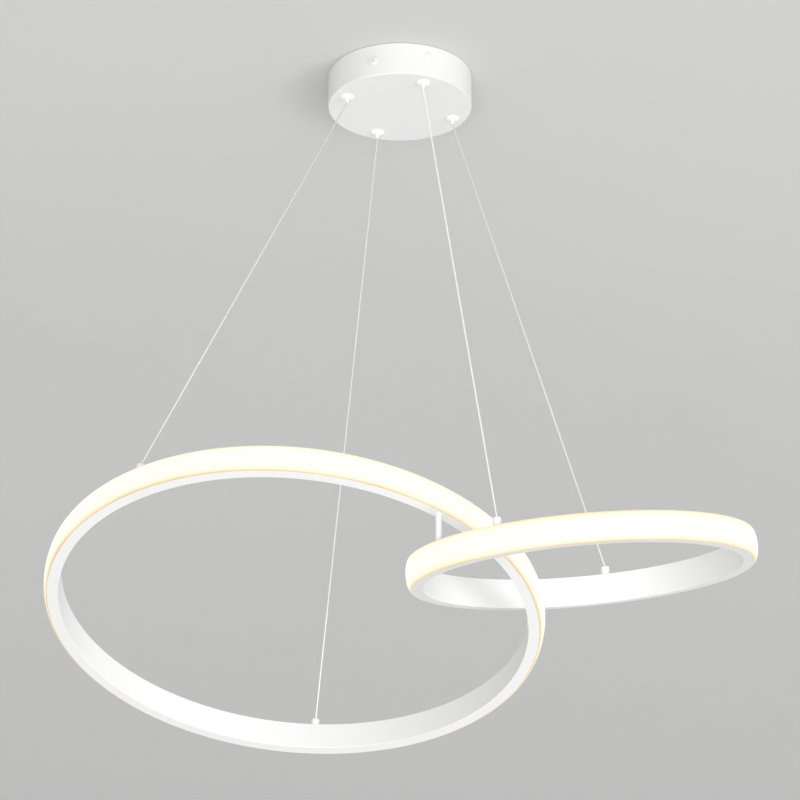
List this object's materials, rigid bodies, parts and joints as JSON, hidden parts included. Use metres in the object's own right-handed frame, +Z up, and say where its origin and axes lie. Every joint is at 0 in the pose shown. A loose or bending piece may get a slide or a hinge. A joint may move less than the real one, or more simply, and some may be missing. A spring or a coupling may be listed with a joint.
{
  "type": "ring pendant light",
  "caption": "Pendant light: interlocked glowing rings tilted opposite ways, hung on adjustable wires from a round ceiling canopy.",
  "frame": {"origin": "centre of the canopy on the ceiling plane", "axes": "+Z up into the ceiling, +X along the row of rings towards the smaller ring, -Y towards the pictured side"},
  "size_m": [0.746, 0.503, 0.6604],
  "materials": {
    "canopy_paint": "matt white paint on pressed steel",
    "screw_paint": "white painted screws",
    "zinc_steel": "bright zinc plated steel",
    "earth_brass": "plain brass",
    "driver_plastic": "white moulded plastic",
    "block_plastic": "natural white nylon",
    "board_green": "green circuit board",
    "lead_sheath": "white soft sheath",
    "grip_white": "satin white paint",
    "fitting_white": "satin white paint",
    "wire_steel": "fine stranded steel wire",
    "cord_white": "white sheathed cord",
    "channel_white": "satin white powder coat on rolled aluminium section",
    "diffuser_glow": "opal diffuser, lit warm white",
    "strip_tape": "white flexible LED tape",
    "led_yellow": "LED packages, lit"
  },
  "bodies": {
    "canopy": {"canopy_cup": "canopy_paint", "ceiling_bracket": "zinc_steel", "canopy_screws": "screw_paint", "earth_screw": "earth_brass", "earth_washer": "earth_brass", "gear_shelf": "zinc_steel", "shelf_lock_screws": "screw_paint", "gear_screws": "zinc_steel", "driver_base": "driver_plastic", "driver_cover": "driver_plastic", "driver_board": "board_green", "terminal_block": "block_plastic", "terminal_screws": "earth_brass", "mains_leads": "lead_sheath", "output_lead": "lead_sheath", "grip_nuts": "zinc_steel", "grip_caps": "zinc_steel", "suspension_wire_left": "wire_steel", "suspension_wire_far": "wire_steel", "suspension_wire_right": "wire_steel", "power_cord": "cord_white", "grip_body_left": "grip_white", "grip_body_far": "grip_white", "grip_body_feed": "grip_white", "grip_body_right": "grip_white", "plunger_spring_left": "zinc_steel", "plunger_spring_far": "zinc_steel", "plunger_spring_feed": "zinc_steel", "plunger_spring_right": "zinc_steel"},
    "rings": {"large_ring_channel": "channel_white", "large_ring_diffuser": "diffuser_glow", "large_led_strip": "strip_tape", "large_led_chips": "led_yellow", "large_strip_connector": "block_plastic", "small_ring_channel": "channel_white", "small_ring_diffuser": "diffuser_glow", "small_led_strip": "strip_tape", "small_led_chips": "led_yellow", "small_strip_connector": "block_plastic", "link_post_near": "fitting_white", "link_post_far": "fitting_white", "post_collars": "zinc_steel", "ferrule_nuts": "zinc_steel", "wire_stops": "zinc_steel", "feed_lead": "lead_sheath", "link_lead": "lead_sheath", "ferrule_left": "fitting_white", "ferrule_far": "fitting_white", "ferrule_feed": "fitting_white", "ferrule_right": "fitting_white"},
    "plunger_left": {"plunger_left": "grip_white"},
    "plunger_far": {"plunger_far": "grip_white"},
    "plunger_feed": {"plunger_feed": "grip_white"},
    "plunger_right": {"plunger_right": "grip_white"}
  },
  "joints": [
    {"name": "drop_slide", "type": "slide", "parent": "canopy", "child": "rings", "axis": [0, 0, 1], "range_m": [0, 0.35], "deforming": ["suspension_wire_left", "suspension_wire_far", "suspension_wire_right", "power_cord"]},
    {"name": "press_left", "type": "slide", "parent": "canopy", "child": "plunger_left", "axis": [0, 0, 1], "range_m": [0, 0.002], "stiffness_N_per_m": 1500, "springref_m": -0.002, "deforming": ["plunger_spring_left"]},
    {"name": "press_far", "type": "slide", "parent": "canopy", "child": "plunger_far", "axis": [0, 0, 1], "range_m": [0, 0.002], "stiffness_N_per_m": 1500, "springref_m": -0.002, "deforming": ["plunger_spring_far"]},
    {"name": "press_feed", "type": "slide", "parent": "canopy", "child": "plunger_feed", "axis": [0, 0, 1], "range_m": [0, 0.002], "stiffness_N_per_m": 1500, "springref_m": -0.002, "deforming": ["plunger_spring_feed"]},
    {"name": "press_right", "type": "slide", "parent": "canopy", "child": "plunger_right", "axis": [0, 0, 1], "range_m": [0, 0.002], "stiffness_N_per_m": 1500, "springref_m": -0.002, "deforming": ["plunger_spring_right"]}
  ]
}
